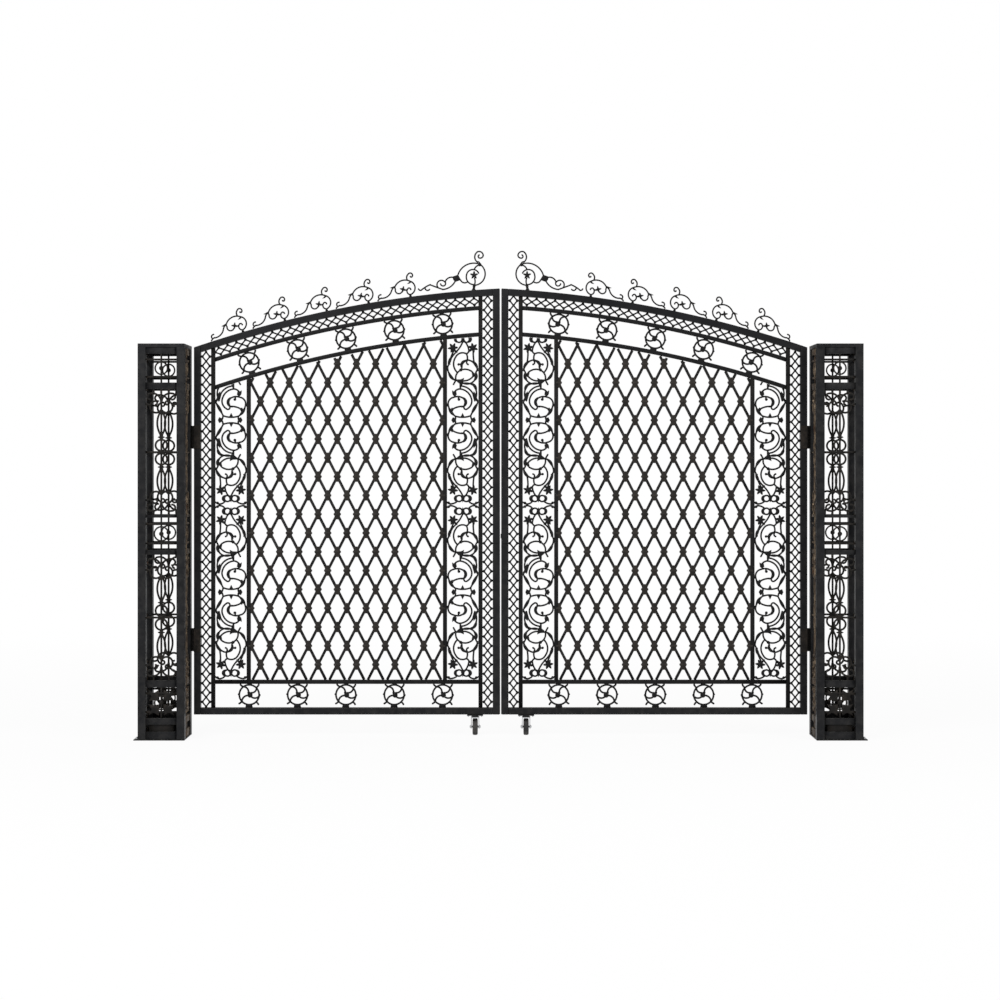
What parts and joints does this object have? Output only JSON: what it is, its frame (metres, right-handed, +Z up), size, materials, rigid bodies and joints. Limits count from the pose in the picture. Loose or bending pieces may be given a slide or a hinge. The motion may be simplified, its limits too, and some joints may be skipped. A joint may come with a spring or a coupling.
{
  "type": "wrought iron driveway gate",
  "caption": "Arched double driveway gate of black iron with cast scroll panels and a diamond lattice, hinged on openwork posts and rolling on casters.",
  "frame": {"origin": "middle of the underside of the left post's base plate, on the ground", "axes": "+X along the closed gate from the left post to the right post, +Y away from the viewer, the way both leaves open, +Z up"},
  "size_m": [4.324, 0.296, 2.9092],
  "materials": {
    "black_paint": "satin",
    "cast_black": "satin",
    "zinc": "satin",
    "rubber": "matte"
  },
  "bodies": {
    "posts": {"left_post_base": "black_paint", "left_post_legs": "black_paint", "left_post_front_back": "cast_black", "left_post_sides": "cast_black", "left_post_cap": "black_paint", "left_hinge_brackets": "black_paint", "right_post_base": "black_paint", "right_post_legs": "black_paint", "right_post_front_back": "cast_black", "right_post_sides": "cast_black", "right_post_cap": "black_paint", "right_hinge_brackets": "black_paint"},
    "left_leaf": {"left_hinge_stile": "black_paint", "left_meeting_stile": "black_paint", "left_bottom_rail": "black_paint", "left_top_rail": "black_paint", "left_uprights": "black_paint", "left_cross_bars": "black_paint", "left_ring_borders": "cast_black", "left_rosettes": "cast_black", "left_lattice": "cast_black", "left_hinge_scrolls": "cast_black", "left_meeting_scrolls": "cast_black", "left_crest": "cast_black", "left_finial": "cast_black", "left_hinge_barrels": "black_paint", "left_lock": "black_paint", "left_caster_plate": "black_paint"},
    "left_caster_fork": {"left_caster_fork": "zinc"},
    "left_caster_wheel": {"left_caster_wheel": "rubber"},
    "right_leaf": {"right_hinge_stile": "black_paint", "right_meeting_stile": "black_paint", "right_bottom_rail": "black_paint", "right_top_rail": "black_paint", "right_uprights": "black_paint", "right_cross_bars": "black_paint", "right_ring_borders": "cast_black", "right_rosettes": "cast_black", "right_lattice": "cast_black", "right_hinge_scrolls": "cast_black", "right_meeting_scrolls": "cast_black", "right_crest": "cast_black", "right_finial": "cast_black", "right_hinge_barrels": "black_paint", "right_lock": "black_paint", "right_caster_plate": "black_paint"},
    "right_caster_fork": {"right_caster_fork": "zinc"},
    "right_caster_wheel": {"right_caster_wheel": "rubber"}
  },
  "joints": [
    {"name": "left_leaf_hinge", "type": "hinge", "parent": "posts", "child": "left_leaf", "pos_m": [0.172, 0.117, 1.181], "axis": [0, 0, 1], "range_deg": [0, 110]},
    {"name": "left_caster_swivel", "type": "hinge", "parent": "left_leaf", "child": "left_caster_fork", "pos_m": [1.846, 0.08, 0.11], "axis": [0, 0, 1], "continuous": true},
    {"name": "left_wheel_spin", "type": "hinge", "parent": "left_caster_fork", "child": "left_caster_wheel", "pos_m": [1.846, 0.108, 0.05], "axis": [1, 0, 0], "continuous": true},
    {"name": "right_leaf_hinge", "type": "hinge", "parent": "posts", "child": "right_leaf", "pos_m": [3.826, 0.117, 1.181], "axis": [0, 0, -1], "range_deg": [0, 110]},
    {"name": "right_caster_swivel", "type": "hinge", "parent": "right_leaf", "child": "right_caster_fork", "pos_m": [2.152, 0.08, 0.11], "axis": [0, 0, 1], "continuous": true},
    {"name": "right_wheel_spin", "type": "hinge", "parent": "right_caster_fork", "child": "right_caster_wheel", "pos_m": [2.152, 0.108, 0.05], "axis": [1, 0, 0], "continuous": true}
  ]
}
